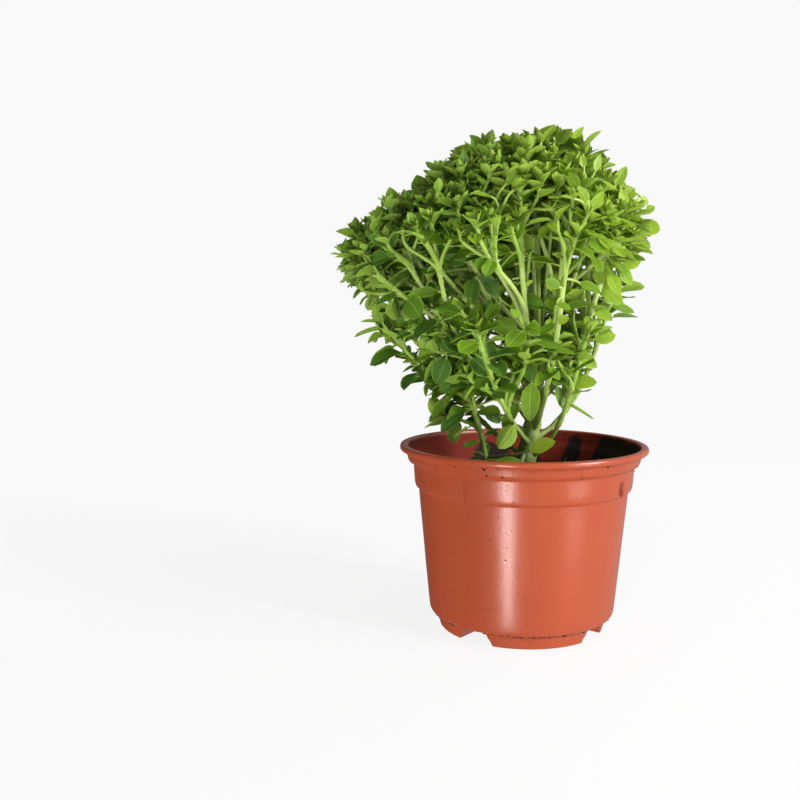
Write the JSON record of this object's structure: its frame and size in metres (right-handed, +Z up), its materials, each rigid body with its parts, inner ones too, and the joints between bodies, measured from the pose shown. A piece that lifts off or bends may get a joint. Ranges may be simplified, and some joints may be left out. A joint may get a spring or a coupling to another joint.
{
  "type": "potted basil plant",
  "caption": "Small-leaved basil in a round plastic nursery pot: a trunk fans out into forked leafy stems that form a leaning dome of rosettes over dark soil.",
  "frame": {"origin": "bottom centre of the whole plant's bounding box, on the surface that the pot's feet stand on", "axes": "+Z up; -Y is the front, which the picture shows; the crown leans towards -X"},
  "size_m": [0.1676, 0.1746, 0.2588],
  "materials": {
    "pot_plastic": "satin terracotta-coloured moulded plastic",
    "soil": "loose dark potting soil, matte",
    "green_stem": "pale green stem, matte",
    "leaf": "soft satin green leaf"
  },
  "bodies": {
    "root": {"pot": "pot_plastic", "soil": "soil", "main_stem": "green_stem", "leafy_stem_01": "leaf", "leafy_stem_02": "leaf", "leafy_stem_03": "leaf", "leafy_stem_04": "leaf", "leafy_stem_05": "leaf", "leafy_stem_06": "leaf", "leafy_stem_07": "leaf", "leafy_stem_08": "leaf", "leafy_stem_09": "leaf", "leafy_stem_10": "leaf", "leafy_stem_11": "leaf", "leafy_stem_12": "leaf", "leafy_stem_13": "leaf", "leafy_stem_14": "leaf", "leafy_stem_15": "leaf", "leafy_stem_16": "leaf", "leafy_stem_17": "leaf", "flank_stem_1": "leaf", "flank_stem_2": "leaf", "flank_stem_3": "leaf", "flank_stem_4": "leaf", "flank_stem_5": "leaf", "flank_stem_6": "leaf", "thin_stem": "leaf"}
  },
  "joints": []
}
